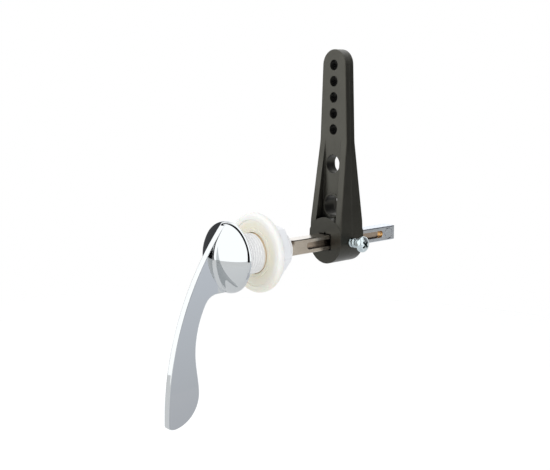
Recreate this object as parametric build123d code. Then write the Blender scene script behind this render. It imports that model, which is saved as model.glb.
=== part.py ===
"""Cistern lever: chromed handle on a square spindle, threaded bush, washer, back nut and lift arm.

Millimetres. The origin is on the spindle's axis, in the plane where the bush's head seats on the
cistern's outer wall. +Y runs along the spindle into the cistern, +Z is up, +X is the side that the
clamp screw is driven from. The lever is at rest: the handle hangs and the lift arm stands up.
"""
from build123d import *
import os
from math import asin, degrees

# Bush
BUSH_THREAD_DIAMETER = 19.5
BUSH_LENGTH = 31.5
BUSH_END_CHAMFER = 0.7
BUSH_HEAD_SIDE_GAP = 1.8
BUSH_HEAD_THICKNESS = 2.6
BUSH_HEAD_ROUND = 0.6

# Spindle
JOURNAL_DIAMETER = 9.0
JOURNAL_CLEARANCE = 0.05
SQUARE_SIDE = 7.6
SQUARE_LENGTH = 79.4
SQUARE_CORNER_RADIUS = 0.5
SQUARE_END_CHAMFER = 0.4
SHOULDER_PLAY = 0.7
TANG_SIDE = 5.4
TANG_LENGTH = 4.4
GROOVE_START = 13.8
GROOVE_LENGTH = 56.3
GROOVE_WIDTH = 3.6
GROOVE_DEPTH = 2.0
PAD_DIAMETER = 5.2
PAD_FROM_END = 4.9
PAD_RING_WIDTH = 0.5
PAD_RING_DEPTH = 0.4

# Handle: dome over the bush's head and a flat fin-shaped blade
DOME_DIAMETER = 34.0
DOME_HEIGHT = 9.6
DOME_WALL = 2.2
DOME_EDGE_ROUND = 3.3
DOME_SKIRT = 0.5
DOME_LIP_ROUND = 0.4
RIM_TO_WALL = 0.8
HANDLE_BOSS_DIAMETER = 12.0
HANDLE_BOSS_PLAY = 0.3
BLADE_THICKNESS = 3.4
BLADE_EDGE_ROUND = 0.45
BLADE_REACH = 37.6
BLADE_DROP = 73.6
BLADE_TOP_INSET = 1.1
BLADE_TOP_REACH = 4.1
BLADE_UNDERSIDE_INSET = 0.8
BLADE_ROOT_REACH = 13.0
BLADE_ROOT_RADIUS = 8.0
BLADE_WAIST_REACH = 21.7
BLADE_WAIST_DROP = 43.1
BLADE_HEEL_BEHIND_TIP = 17.6
BLADE_HEEL_ABOVE_TIP = 12.6
BLADE_TOE_BEHIND_TIP = 4.2
BLADE_TOE_BELOW_TIP = 2.1

# Sealing washer
WASHER_DIAMETER = 38.6
WASHER_BORE_CLEARANCE = 0.3
WASHER_THICKNESS = 4.0
WASHER_EDGE_ROUND = 1.3
WASHER_FROM_SEAT = 14.0
WASHER_RECESS_INNER = 23.6
WASHER_RECESS_OUTER = 32.0
WASHER_RECESS_DEPTH = 0.35

# Back nut
NUT_ACROSS_FLATS = 25.0
NUT_LENGTH = 8.6
NUT_THREAD_CLEARANCE = 0.08
NUT_END_CHAMFER = 0.5
NUT_CORNER_ANGLE = -8.5

# Lift arm
ARM_FROM_SEAT = 70.4
ARM_HUB_RADIUS = 11.4
ARM_HUB_THICKNESS = 16.6
ARM_WEB_THICKNESS = 6.2
ARM_END_RADIUS = 7.8
ARM_LINK_HOLE_DIAMETER = 5.25
ARM_LINK_HOLE_COUNT = 5
ARM_LINK_HOLE_PITCH = 8.0
ARM_TOP_HOLE_HEIGHT = 88.8
ARM_UPPER_HOLE_DIAMETER = 9.35
ARM_UPPER_HOLE_HEIGHT = 39.4
ARM_LOWER_HOLE_DIAMETER = 10.8
ARM_LOWER_HOLE_HEIGHT = 18.1
ARM_LOWER_HOLE_RIM = 0.9
ARM_LOWER_HOLE_RIM_RISE = 0.5
ARM_FLARE_TOP = 51.0
ARM_FLARE_BOTTOM = 10.0
ARM_FLARE_BEND = 25.0
ARM_RIB_WIDTH = 3.9
ARM_BOSS_RADIUS = 12.4
ARM_BOSS_RISE = 0.3
ARM_EDGE_ROUND = 0.5
ARM_SQUARE_CLEARANCE = 0.4
ARM_NOTCH_WIDTH = 1.6
ARM_NOTCH_DEPTH = 0.9

# Clamp screw
SCREW_DIAMETER = 4.8
SCREW_HOLE_CLEARANCE = 0.05
SCREW_LENGTH = 16.0
SCREW_DOG_EXTRA = 0.3
SCREW_DOG_SIDE_CLEARANCE = 0.15
SCREW_TIP_GAP = 0.1
SCREW_TAPER_LENGTH = 1.4
SCREW_HEAD_DIAMETER = 8.1
SCREW_HEAD_HEIGHT = 3.0
SCREW_HEAD_RIM = 0.9
SCREW_RECESS_SPAN = 4.4
SCREW_RECESS_SLOT = 1.1
SCREW_RECESS_DEPTH = 1.8
SCREW_RECESS_DRAFT = 6.0

# Stations along the spindle, measured from the seat plane
BOSS_FACE = -(BUSH_HEAD_THICKNESS + HANDLE_BOSS_PLAY)
SHOULDER = BUSH_LENGTH + SHOULDER_PLAY
SPINDLE_END = SHOULDER + SQUARE_LENGTH
RIM = -RIM_TO_WALL
SKIRT_END = RIM - DOME_SKIRT
CROWN = RIM - DOME_HEIGHT
NUT_FACE = WASHER_FROM_SEAT + WASHER_THICKNESS
GROOVE_FLOOR = SQUARE_SIDE / 2 - GROOVE_DEPTH
SCREW_TIP = GROOVE_FLOOR + SCREW_TIP_GAP
SCREW_HEAD_SEAT = SCREW_TIP + SCREW_LENGTH

# Cap of the dome, tangent to the rounding between cap and skirt
EDGE_MIDDLE = DOME_DIAMETER / 2 - DOME_EDGE_ROUND
EDGE_RISE = DOME_HEIGHT - DOME_SKIRT
CAP_RADIUS = (EDGE_MIDDLE**2 + EDGE_RISE**2 - DOME_EDGE_ROUND**2) / (2 * (EDGE_RISE - DOME_EDGE_ROUND))
CAP_ANGLE = degrees(asin(EDGE_MIDDLE / (CAP_RADIUS - DOME_EDGE_ROUND)))

# Head of the bush, inside the dome with a gap all round
BUSH_HEAD_DIAMETER = DOME_DIAMETER - 2 * (DOME_WALL + BUSH_HEAD_SIDE_GAP)

# Places on the blade, measured from the spindle's axis and the seat plane
BLADE_TOP_HEIGHT = DOME_DIAMETER / 2 - BLADE_TOP_INSET
BLADE_UNDERSIDE = DOME_DIAMETER / 2 - BLADE_UNDERSIDE_INSET
BLADE_HEEL_REACH = BLADE_REACH - BLADE_HEEL_BEHIND_TIP
BLADE_HEEL_DROP = BLADE_DROP - BLADE_HEEL_ABOVE_TIP
BLADE_TOE_REACH = BLADE_REACH - BLADE_TOE_BEHIND_TIP
BLADE_TOE_DROP = BLADE_DROP + BLADE_TOE_BELOW_TIP


def across(station):
    """Plane square to the spindle at a station, seen from outside the cistern: x is +X, y is +Z."""
    return Plane(origin=(0, station, 0), x_dir=(1, 0, 0), z_dir=(0, -1, 0))


def along(sketch, start, end):
    """Prism of a cross-section from one station on the spindle's axis to another."""
    return extrude(across(start) * sketch, amount=-(end - start))


def make_bush():
    """Headed bush that passes through the wall: a plain bore carries the spindle's journal."""
    head = along(Circle(BUSH_HEAD_DIAMETER / 2), -BUSH_HEAD_THICKNESS, 0)
    head = fillet(head.edges().group_by(Axis.Y)[0], BUSH_HEAD_ROUND)
    barrel = along(Circle(BUSH_THREAD_DIAMETER / 2), 0, BUSH_LENGTH)
    barrel = chamfer(barrel.edges().group_by(Axis.Y)[-1], BUSH_END_CHAMFER)
    bore = Circle(JOURNAL_DIAMETER / 2 + JOURNAL_CLEARANCE)
    return head + barrel - along(bore, -BUSH_HEAD_THICKNESS, BUSH_LENGTH)


def make_spindle():
    """Tang for the handle, round journal, and a square bar grooved along its +X face."""
    bar = along(RectangleRounded(SQUARE_SIDE, SQUARE_SIDE, SQUARE_CORNER_RADIUS), SHOULDER, SPINDLE_END)
    bar = chamfer(bar.faces().sort_by(Axis.Y)[-1].edges(), SQUARE_END_CHAMFER)
    journal = along(Circle(JOURNAL_DIAMETER / 2), BOSS_FACE, SHOULDER)
    tang = along(Rectangle(TANG_SIDE, TANG_SIDE), BOSS_FACE - TANG_LENGTH, BOSS_FACE)
    side = Plane(origin=(SQUARE_SIDE / 2, 0, 0), x_dir=(0, 1, 0), z_dir=(1, 0, 0))
    groove_middle = SHOULDER + GROOVE_START + GROOVE_LENGTH / 2
    groove = side * Pos(groove_middle, 0) * SlotOverall(GROOVE_LENGTH, GROOVE_WIDTH)
    pad = Circle(PAD_DIAMETER / 2 + PAD_RING_WIDTH) - Circle(PAD_DIAMETER / 2)
    ring = side * Pos(SPINDLE_END - PAD_FROM_END, 0) * pad
    body = bar + journal + tang
    body -= extrude(groove, amount=-GROOVE_DEPTH)
    return body - extrude(ring, amount=-PAD_RING_DEPTH)


def dome_solid(inset):
    """Cap of a sphere with a rounded edge on a short straight skirt, a distance inside the dome's outer face."""
    crown = (0, CROWN + inset)
    cap = JernArc(crown, (1, 0), CAP_RADIUS - inset, CAP_ANGLE)
    edge = JernArc(cap @ 1, cap % 1, DOME_EDGE_ROUND - inset, 90 - CAP_ANGLE)
    rest = Polyline(edge @ 1, (DOME_DIAMETER / 2 - inset, RIM), (0, RIM), crown)
    return revolve(make_face(Curve() + [cap, edge, rest]), Axis.Y)


def make_blade():
    """Flat fin in the plane of the spindle: one long arc in front, a waist and a broad toe behind."""
    tip = (-BLADE_REACH, -BLADE_DROP)
    top = (-BLADE_TOP_REACH, BLADE_TOP_HEIGHT)
    root = (-BLADE_ROOT_REACH, -BLADE_UNDERSIDE)
    waist = (-BLADE_WAIST_REACH, -BLADE_WAIST_DROP)
    heel = (-BLADE_HEEL_REACH, -BLADE_HEEL_DROP)
    toe = (-BLADE_TOE_REACH, -BLADE_TOE_DROP)
    front = TangentArc(tip, top, tangent=(0, 1))
    inside = Polyline(top, (SKIRT_END, BLADE_TOP_HEIGHT), (SKIRT_END, -BLADE_UNDERSIDE), root)
    back = TangentArc(waist, root, tangent=(0, 1))
    calf = Spline(waist, heel, tangents=[(0, -1), (0, -1)])
    sole = TangentArc(heel, toe, tangent=(0, -1))
    nose = Spline(toe, tip, tangents=[sole % 1, (0, 1)])
    outline = make_face(Curve() + [front, inside, back, calf, sole, nose])
    corner = outline.vertices().sort_by_distance((*root, 0))[0]
    outline = fillet(corner, BLADE_ROOT_RADIUS)
    blade = extrude(Plane.YZ * outline, amount=BLADE_THICKNESS / 2, both=True)
    rims = blade.edges().filter_by(Axis.X, reverse=True)
    buried = rims.group_by(Axis.Y)[-1] + rims.group_by(Axis.Z)[-1]
    return fillet(rims - buried, BLADE_EDGE_ROUND)


def make_handle():
    """One casting: hollow dome, blade, and a boss whose square socket takes the spindle's tang."""
    shell = dome_solid(0) + make_blade()
    rim = shell.edges().filter_by(GeomType.CIRCLE).group_by(Axis.Y)[-1]
    shell = fillet(rim, DOME_LIP_ROUND) - dome_solid(DOME_WALL)
    boss = along(Circle(HANDLE_BOSS_DIAMETER / 2), CROWN + DOME_WALL / 2, BOSS_FACE)
    socket = along(Rectangle(TANG_SIDE, TANG_SIDE), BOSS_FACE - TANG_LENGTH, BOSS_FACE)
    return shell + boss - socket


def make_washer():
    """Thick flat washer with a rounded rim and a shallow ring sunk in the face that meets the wall."""
    back = WASHER_FROM_SEAT + WASHER_THICKNESS
    disc = along(Circle(WASHER_DIAMETER / 2), WASHER_FROM_SEAT, back)
    disc = fillet(disc.edges(), WASHER_EDGE_ROUND)
    ring = Circle(WASHER_RECESS_OUTER / 2) - Circle(WASHER_RECESS_INNER / 2)
    bore = Circle(BUSH_THREAD_DIAMETER / 2 + WASHER_BORE_CLEARANCE)
    disc -= along(bore, WASHER_FROM_SEAT, back)
    return disc - along(ring, WASHER_FROM_SEAT, WASHER_FROM_SEAT + WASHER_RECESS_DEPTH)


def make_nut():
    """Hexagon nut with a turned chamfer on its free end."""
    end = NUT_FACE + NUT_LENGTH
    hexagon = RegularPolygon(NUT_ACROSS_FLATS / 2, 6, major_radius=False, rotation=NUT_CORNER_ANGLE)
    corner = hexagon.vertices()[0].center().length
    body = along(hexagon, NUT_FACE, end)
    envelope = along(Circle(corner), NUT_FACE, end)
    envelope = chamfer(envelope.edges().group_by(Axis.Y)[-1], NUT_END_CHAMFER)
    bore = Circle(BUSH_THREAD_DIAMETER / 2 + NUT_THREAD_CLEARANCE)
    return (body & envelope) - along(bore, NUT_FACE, end)


def arm_side_profile():
    """Edge view of the arm: an even web above, thickening on both faces down to the hub."""
    half_web = ARM_WEB_THICKNESS / 2
    half_rib = ARM_HUB_THICKNESS / 2 - ARM_BOSS_RISE
    top = ARM_TOP_HOLE_HEIGHT + 2 * ARM_END_RADIUS
    bottom = -2 * ARM_HUB_RADIUS
    right = [(half_web, top), (half_web, ARM_FLARE_TOP), (half_rib, ARM_FLARE_BOTTOM), (half_rib, bottom)]
    left = [(-y, z) for y, z in reversed(right)]
    profile = make_face(Polyline(*right, *left, close=True))
    bends = [v for v in profile.vertices() if bottom < v.Y < top]
    return Pos(ARM_FROM_SEAT, 0) * fillet(bends, ARM_FLARE_BEND)


def arm_outline(inset):
    """Front view of the arm, from the hub's circle to the end's circle, drawn in by an inset."""
    hub = Circle(ARM_HUB_RADIUS - inset)
    end = Pos(0, ARM_TOP_HOLE_HEIGHT) * Circle(ARM_END_RADIUS - inset)
    return make_hull(hub.edges() + end.edges())


def make_arm():
    """Moulded arm: tapered outline, ribs along both edges, link holes, and a hub clamped by a screw."""
    middle = ARM_FROM_SEAT
    hub_front = middle - ARM_HUB_THICKNESS / 2
    hub_back = middle + ARM_HUB_THICKNESS / 2
    web_front = middle - ARM_WEB_THICKNESS / 2
    web_back = middle + ARM_WEB_THICKNESS / 2
    outline = arm_outline(0)
    blank = along(outline, hub_front, hub_back)
    blank &= extrude(Plane.YZ * arm_side_profile(), amount=2 * ARM_HUB_RADIUS, both=True)
    rims = blank.edges().filter_by(Axis.X, reverse=True).filter_by(Axis.Y, reverse=True)
    blank = fillet(rims, ARM_EDGE_ROUND)

    boss = outline & Circle(ARM_BOSS_RADIUS)
    pocket = arm_outline(ARM_RIB_WIDTH) - Circle(ARM_BOSS_RADIUS)
    body = blank - along(pocket, hub_front, web_front) - along(pocket, web_back, hub_back)
    body += along(boss, hub_front, hub_back)

    lower = Pos(0, ARM_LOWER_HOLE_HEIGHT)
    rim = Circle(ARM_LOWER_HOLE_DIAMETER / 2 + ARM_LOWER_HOLE_RIM)
    body += along(lower * rim, web_front - ARM_LOWER_HOLE_RIM_RISE, web_back + ARM_LOWER_HOLE_RIM_RISE)

    holes = [lower * Circle(ARM_LOWER_HOLE_DIAMETER / 2)]
    holes += [Pos(0, ARM_UPPER_HOLE_HEIGHT) * Circle(ARM_UPPER_HOLE_DIAMETER / 2)]
    for index in range(ARM_LINK_HOLE_COUNT):
        height = ARM_TOP_HOLE_HEIGHT - index * ARM_LINK_HOLE_PITCH
        holes += [Pos(0, height) * Circle(ARM_LINK_HOLE_DIAMETER / 2)]
    for hole in holes:
        body -= along(hole, hub_front, hub_back)

    opening = SQUARE_SIDE + 2 * ARM_SQUARE_CLEARANCE
    notch = Polyline(
        (-ARM_NOTCH_WIDTH / 2, opening / 2),
        (0, opening / 2 + ARM_NOTCH_DEPTH),
        (ARM_NOTCH_WIDTH / 2, opening / 2),
        close=True,
    )
    body -= along(Rectangle(opening, opening) + make_face(notch), hub_front, hub_back)
    screw_hole = Plane(origin=(0, middle, 0), x_dir=(0, 1, 0), z_dir=(1, 0, 0))
    screw_hole *= Circle(SCREW_DIAMETER / 2 + SCREW_HOLE_CLEARANCE)
    return body - extrude(screw_hole, amount=ARM_HUB_RADIUS)


def make_screw():
    """Pan-head screw with a cross recess; its dog point stands in the spindle's groove."""
    core = SCREW_DIAMETER / 2
    dog = GROOVE_WIDTH / 2 - SCREW_DOG_SIDE_CLEARANCE
    dog_end = SCREW_TIP + GROOVE_DEPTH + SCREW_DOG_EXTRA
    head = SCREW_HEAD_DIAMETER / 2
    rim = SCREW_HEAD_SEAT + SCREW_HEAD_RIM
    top = SCREW_HEAD_SEAT + SCREW_HEAD_HEIGHT
    shank = Polyline(
        (top, 0),
        (SCREW_TIP, 0),
        (SCREW_TIP, dog),
        (dog_end, dog),
        (dog_end + SCREW_TAPER_LENGTH, core),
        (SCREW_HEAD_SEAT, core),
        (SCREW_HEAD_SEAT, head),
        (rim, head),
    )
    pan = EllipticalCenterArc((rim, 0), top - rim, head, start_angle=0, arc_size=90)
    solid = revolve(make_face(Curve() + [shank, pan]), Axis.X)
    face = Plane(origin=(top, 0, 0), x_dir=(0, 1, 0), z_dir=(1, 0, 0))
    slot = Rectangle(SCREW_RECESS_SPAN, SCREW_RECESS_SLOT)
    cross = Rot(0, 0, 45) * slot + Rot(0, 0, -45) * slot
    solid -= extrude(face * cross, amount=-SCREW_RECESS_DEPTH, taper=SCREW_RECESS_DRAFT)
    return Pos(0, ARM_FROM_SEAT, 0) * solid


def main():
    """Builds each piece and writes one file for each."""
    os.makedirs("parts", exist_ok=True)
    pieces = {
        "handle": make_handle(),
        "spindle": make_spindle(),
        "bush": make_bush(),
        "sealing_washer": make_washer(),
        "back_nut": make_nut(),
        "lift_arm": make_arm(),
        "clamp_screw": make_screw(),
    }
    for name, piece in pieces.items():
        export_step(piece, f"parts/{name}.step")


main()
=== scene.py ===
"""Cistern lever dressed for rendering: chrome, cast zinc, nylon, black moulding and plated steel.

Metres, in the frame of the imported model: +Y runs along the spindle into the cistern, +Z is up and +X is
the side that the clamp screw is driven from. Laid out as an add-on with one operator for each piece.
"""

import math

import bpy
import numpy as np
from bpy.props import FloatProperty, FloatVectorProperty, IntProperty, PointerProperty
from bpy.types import Operator, Panel, PropertyGroup
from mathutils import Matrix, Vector
from mathutils.geometry import tessellate_polygon


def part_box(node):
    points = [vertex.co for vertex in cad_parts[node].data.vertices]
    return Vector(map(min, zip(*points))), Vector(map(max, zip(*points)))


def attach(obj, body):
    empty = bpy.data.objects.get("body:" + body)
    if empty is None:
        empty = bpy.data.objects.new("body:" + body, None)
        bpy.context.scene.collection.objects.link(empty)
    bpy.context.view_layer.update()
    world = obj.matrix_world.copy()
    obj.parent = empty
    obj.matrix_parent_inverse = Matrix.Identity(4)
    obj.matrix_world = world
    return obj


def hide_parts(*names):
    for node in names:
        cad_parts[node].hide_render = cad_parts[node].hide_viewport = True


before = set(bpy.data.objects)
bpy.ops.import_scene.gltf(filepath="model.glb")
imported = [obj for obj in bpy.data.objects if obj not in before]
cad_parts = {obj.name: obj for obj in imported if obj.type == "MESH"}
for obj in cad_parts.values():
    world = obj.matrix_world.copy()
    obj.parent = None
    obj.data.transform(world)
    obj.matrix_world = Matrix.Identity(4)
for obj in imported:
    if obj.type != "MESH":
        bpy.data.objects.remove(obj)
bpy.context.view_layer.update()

bl_info = {
    "name": "Cistern lever",
    "version": (1, 0, 0),
    "blender": (4, 5, 0),
    "location": "View3D > Sidebar > Lever",
    "description": "Builds the pieces of a cistern lever over its packed model, "
                   "with their finishes and a studio",
    "category": "Object",
}

MM = 0.001
HANDLE_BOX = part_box("handle")
BUSH_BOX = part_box("bush")
WASHER_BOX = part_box("sealing_washer")
SCREW_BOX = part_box("clamp_screw")


def length(description, default):
    """Property for a size in metres."""
    return FloatProperty(
        description=description, default=default, precision=5, unit="LENGTH", subtype="DISTANCE"
    )


def colour(description, default):
    """Property for a colour."""
    return FloatVectorProperty(
        description=description, default=default, min=0, max=1, size=3, subtype="COLOR"
    )


def turn(description, default):
    """Property for an angle."""
    return FloatProperty(description=description, default=math.radians(default), subtype="ANGLE")


class HandleSettings(PropertyGroup):
    """Sizes and finish of the chromed handle."""

    dome_radius: length("Radius of the dome over the bush", HANDLE_BOX[1].x)
    rim: length("Station of the dome's rim", HANDLE_BOX[1].y)
    dome_height: length("From the rim to the crown", 9.6 * MM)
    dome_edge: length("Rounding between the dome's cap and its skirt", 3.3 * MM)
    skirt: length("Straight part of the dome next to the rim", 0.5 * MM)
    lip: length("Rounding of the rim's outer edge", 0.4 * MM)
    wall: length("Thickness of the dome", 2.2 * MM)
    boss_radius: length("Radius of the boss inside the dome", 6.0 * MM)
    boss_face: length("Station of the boss's free face", -2.9 * MM)
    blade_thickness: length("Across the flat fin", 3.4 * MM)
    blade_edge: length("Rounding of the fin's edges", 0.45 * MM)
    blade_reach: length("How far the tip stands out from the wall", -HANDLE_BOX[0].y)
    blade_drop: length("How far the tip hangs below the spindle", 73.6 * MM)
    blade_top_reach: length("Where the front edge meets the dome", 4.1 * MM)
    blade_top_inset: length("Front edge's end below the dome's top", 1.1 * MM)
    underside_inset: length("Blade's underside above the dome's foot", 0.8 * MM)
    root_reach: length("Corner between underside and back edge", 13.0 * MM)
    root_radius: length("Rounding of that corner", 8.0 * MM)
    waist_reach: length("Narrowest place of the blade's back edge", 21.7 * MM)
    waist_drop: length("Its depth below the spindle", 43.1 * MM)
    heel_back: length("Broadest place, behind the tip", 17.6 * MM)
    heel_rise: length("Broadest place, above the tip", 12.6 * MM)
    toe_back: length("Lowest place, behind the tip", 4.2 * MM)
    toe_drop: length("Lowest place, below the tip", 2.1 * MM)
    crease: length("Radius of the hollow between dome and blade, at its foot", 2.2 * MM)
    crease_top: length("Radius of that hollow at its upper end", 1.0 * MM)
    chrome: colour("Colour of the plating", (0.545, 0.566, 0.575))


class BushSettings(PropertyGroup):
    """Sizes and finish of the threaded bush."""

    thread_radius: length("Crest of the outer thread", 9.75 * MM)
    pitch: length("Advance of the thread in one turn", 1.5 * MM)
    depth: length("From crest to root", 0.72 * MM)
    end: length("Station of the bush's inner end", BUSH_BOX[1].y)
    chamfer: length("Bevel of the inner end", 0.7 * MM)
    head_radius: length("Radius of the head under the dome", BUSH_BOX[1].x)
    head: length("Thickness of the head", -BUSH_BOX[0].y)
    bore_radius: length("Bore for the spindle's journal", 4.55 * MM)
    nylon: colour("Colour of the bush", (0.98, 0.98, 0.98))
    # Painted shade: a warm tan on the bush in the gap where the washer's bore meets it.
    stain: colour("Colour of the bush where the washer sits", (0.78, 0.60, 0.37))
    gap_shade_start: length("Station where the stain starts", 13.6 * MM)
    gap_shade_end: length("Station where the stain ends", 18.4 * MM)


class WasherSettings(PropertyGroup):
    """Sizes and finish of the sealing washer."""

    radius: length("Outer radius", WASHER_BOX[1].x)
    bore_radius: length("Radius of the hole", 9.92 * MM)
    front: length("Station of the face that meets the wall", WASHER_BOX[0].y)
    back: length("Station of the face that meets the nut", WASHER_BOX[1].y)
    edge: length("Rounding of the rim", 1.7 * MM)
    ring_inner: length("Inner radius of the sunk ring", 11.8 * MM)
    ring_outer: length("Outer radius of the sunk ring", 16.0 * MM)
    ring_depth: length("Depth of the sunk ring", 0.35 * MM)
    # The washer is cream-white; a warmer face low down and in the sunk ring and a paler upper rim are painted
    # shade and light.
    cream: colour("Colour of the washer's face", (0.84, 0.805, 0.67))
    pale: colour("Colour of the washer's rim", (0.90, 0.895, 0.87))


class NutSettings(PropertyGroup):
    """Finish of the back nut."""

    white: colour("Colour of the nut", (0.90, 0.91, 0.93))


class SpindleSettings(PropertyGroup):
    """Finish of the square spindle."""

    groove_half: length("Half the width of the groove in the near face", 1.87 * MM)
    groove_near: length("Station where the groove starts", 45.5 * MM)
    groove_far: length("Station where the groove ends", 102.6 * MM)
    zinc: colour("Colour of the casting near the nut", (0.52, 0.47, 0.415))
    bright: colour("Colour of the casting at its far end", (0.47, 0.505, 0.56))
    # Painted reflection: brown on the groove's floor, and a painted gold glint at its far end.
    brown: colour("Colour of the groove's floor", (0.40, 0.33, 0.275))
    gold: colour("Colour of the groove's far end", (0.70, 0.52, 0.31))
    # Colour of the pits, and of the painted shade in corners, on the groove's walls and by the nut.
    grime: colour("Colour in pits and on the groove's walls", (0.075, 0.045, 0.025))


class ArmSettings(PropertyGroup):
    """Finish of the lift arm."""

    middle: length("Station of the parting line", 70.4 * MM)
    parting: length("Width of the line where the mould closed", 0.22 * MM)
    black: colour("Colour of the moulding", (0.0125, 0.0122, 0.0098))
    # Rubbed edges are paler partly from wear and partly as painted highlight; the parting line takes this
    # colour too.
    scuffed: colour("Colour of the rubbed edges", (0.034, 0.034, 0.030))


class ScrewSettings(PropertyGroup):
    """Sizes and finish of the clamp screw."""

    station: length("Place of the screw along the spindle", 70.4 * MM)
    tip: length("Where the screw ends", SCREW_BOX[0].x)
    top: length("Crown of the head", SCREW_BOX[1].x)
    seat: length("Underside of the head", 17.9 * MM)
    rim: length("Straight part of the head's edge", 0.9 * MM)
    thread_radius: length("Crest of the thread", 2.4 * MM)
    dog_radius: length("Plain point in the spindle's groove", 1.65 * MM)
    pitch: length("Advance of the thread in one turn", 2.2 * MM)
    depth: length("From crest to root", 0.62 * MM)
    head_radius: length("Radius of the pan head", SCREW_BOX[1].z)
    recess_span: length("Length of one bar of the cross", 4.4 * MM)
    recess_slot: length("Width of one bar of the cross", 1.1 * MM)
    recess_depth: length("Depth of the cross at its middle", 1.8 * MM)
    plating: colour("Colour of the zinc plating", (0.53, 0.60, 0.62))


class StageSettings(PropertyGroup):
    """Camera and floor of the studio."""

    azimuth: turn("Camera's place round the lever, from the handle's side", 48.497)
    elevation: turn("Camera's height over the spindle", 9.568)
    distance: length("From the camera to the point that it looks at", 437.147 * MM)
    focal_px: IntProperty(description="Focal length in pixels of a picture 550 wide", default=900)
    floor_height: length("Height of the floor", -125 * MM)


class LeverSettings(PropertyGroup):
    """All settings of the lever, piece by piece."""

    handle: PointerProperty(type=HandleSettings)
    bush: PointerProperty(type=BushSettings)
    washer: PointerProperty(type=WasherSettings)
    nut: PointerProperty(type=NutSettings)
    spindle: PointerProperty(type=SpindleSettings)
    arm: PointerProperty(type=ArmSettings)
    screw: PointerProperty(type=ScrewSettings)
    stage: PointerProperty(type=StageSettings)


# Mesh tools

CORNER_STEPS = 6
STRAIGHT = 1e-6


def linked(name, data):
    """New object in the scene for a mesh, lamp or camera."""
    made = bpy.data.objects.new(name, data)
    bpy.context.scene.collection.objects.link(made)
    return made


def linked_mesh(name, points, faces, material):
    """New object in the scene for points and faces, with one material."""
    mesh = bpy.data.meshes.new(name)
    mesh.from_pydata(points, [], faces)
    mesh.materials.append(material)
    return linked(name, mesh)


def round_angles(count):
    """Angles of a full turn, without the last, which is the first again."""
    return np.linspace(0, 2 * math.pi, count, endpoint=False)


class Skin:
    """Points, normals and faces of one mesh, gathered patch by patch."""

    def __init__(self):
        self.points = []
        self.normals = []
        self.faces = []

    def add(self, points, normals, faces):
        """Adds a patch whose faces count its own points from 0."""
        first = len(self.points)
        self.points.extend(tuple(p) for p in points)
        self.normals.extend(tuple(n) for n in normals)
        self.faces.extend(tuple(first + i for i in face) for face in faces)

    def grid(self, points, normals, closed=False):
        """Adds a grid of rows and columns; closed joins the last column to the first."""
        points = np.asarray(points)
        rows, columns = points.shape[:2]
        faces = []
        for i in range(rows - 1):
            for j in range(columns if closed else columns - 1):
                a, b = i * columns + j, i * columns + (j + 1) % columns
                faces.append((a, b, b + columns, a + columns))
        self.add(points.reshape(-1, 3), np.asarray(normals).reshape(-1, 3), faces)

    def turned(self, path, segments):
        """Adds a surface turned about the Y axis from a path of (radius, station, normal, normal)."""
        angles = round_angles(segments)

        def spun(across, along):
            """Rows of vectors that stand off the axis and along it, at each angle."""
            return np.stack([np.outer(across, np.cos(angles)), np.outer(along, np.ones(segments)),
                             np.outer(across, np.sin(angles))], axis=-1)

        radius, station, outward, forward = np.asarray(path).T
        self.grid(spun(radius, station), spun(outward, forward), closed=True)

    def make(self, name, material):
        """Links the mesh as an object, with each face wound the way its normals point."""
        points = np.asarray(self.points)
        normals = np.asarray(self.normals)
        faces = []
        for face in self.faces:
            a, b, c = points[face[0]], points[face[1]], points[face[2]]
            facing = np.cross(b - a, c - a)
            if len(face) == 4:
                facing = facing + np.cross(c - a, points[face[3]] - a)
            if facing @ normals[list(face)].sum(axis=0) < 0:
                face = face[::-1]
            faces.append(face)
        piece = linked_mesh(name, self.points, faces, material)
        piece.data.shade_smooth()
        piece.data.normals_split_custom_set_from_vertices(self.normals)
        return piece


def unit(vectors):
    """Vectors of length one along the last axis."""
    vectors = np.asarray(vectors, float)
    return vectors / np.linalg.norm(vectors, axis=-1, keepdims=True)


def right_of(tangents):
    """Normals on the right-hand side of tangents in a plane."""
    tangents = unit(tangents)
    return np.stack([tangents[:, 1], -tangents[:, 0]], axis=-1)


def rounded_path(corners):
    """Path through (u, v, radius) corners, each inner corner rounded, as rows of u, v and right normal."""
    rows = []
    for i, (u, v, radius) in enumerate(corners):
        here = np.array((u, v))
        into = unit(here - np.array(corners[i - 1][:2])) if i else None
        out = unit(np.array(corners[i + 1][:2]) - here) if i + 1 < len(corners) else None
        if into is None or out is None:
            along = out if into is None else into
            rows.append((u, v, along[1], -along[0]))
            continue
        bend = math.atan2(into[0] * out[1] - into[1] * out[0], into @ out)
        if abs(bend) < STRAIGHT:
            continue
        reach = radius * math.tan(abs(bend) / 2)
        side = math.copysign(1, bend)
        middle = here - into * reach + side * radius * np.array((-into[1], into[0]))
        for k in range(CORNER_STEPS + 1):
            swing = bend * k / CORNER_STEPS
            along = np.array((into[0] * math.cos(swing) - into[1] * math.sin(swing),
                              into[0] * math.sin(swing) + into[1] * math.cos(swing)))
            normal = np.array((along[1], -along[0]))
            rows.append((*(middle + side * radius * normal), *normal))
    return rows


def arc_from(start, tangent, end, steps):
    """Arc that leaves start along a tangent and passes through end: points and tangents."""
    start, end, tangent = np.array(start), np.array(end), unit(tangent)
    chord = end - start
    half = math.atan2(tangent[0] * chord[1] - tangent[1] * chord[0], tangent @ chord)
    radius = np.linalg.norm(chord) / (2 * math.sin(half))
    middle = start + radius * np.array((-tangent[1], tangent[0]))
    points, tangents = [], []
    for swing in np.linspace(0, 2 * half, steps + 1):
        spin = np.array(((math.cos(swing), -math.sin(swing)), (math.sin(swing), math.cos(swing))))
        points.append(middle + spin @ (start - middle))
        tangents.append(spin @ tangent)
    return np.array(points), np.array(tangents)


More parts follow.
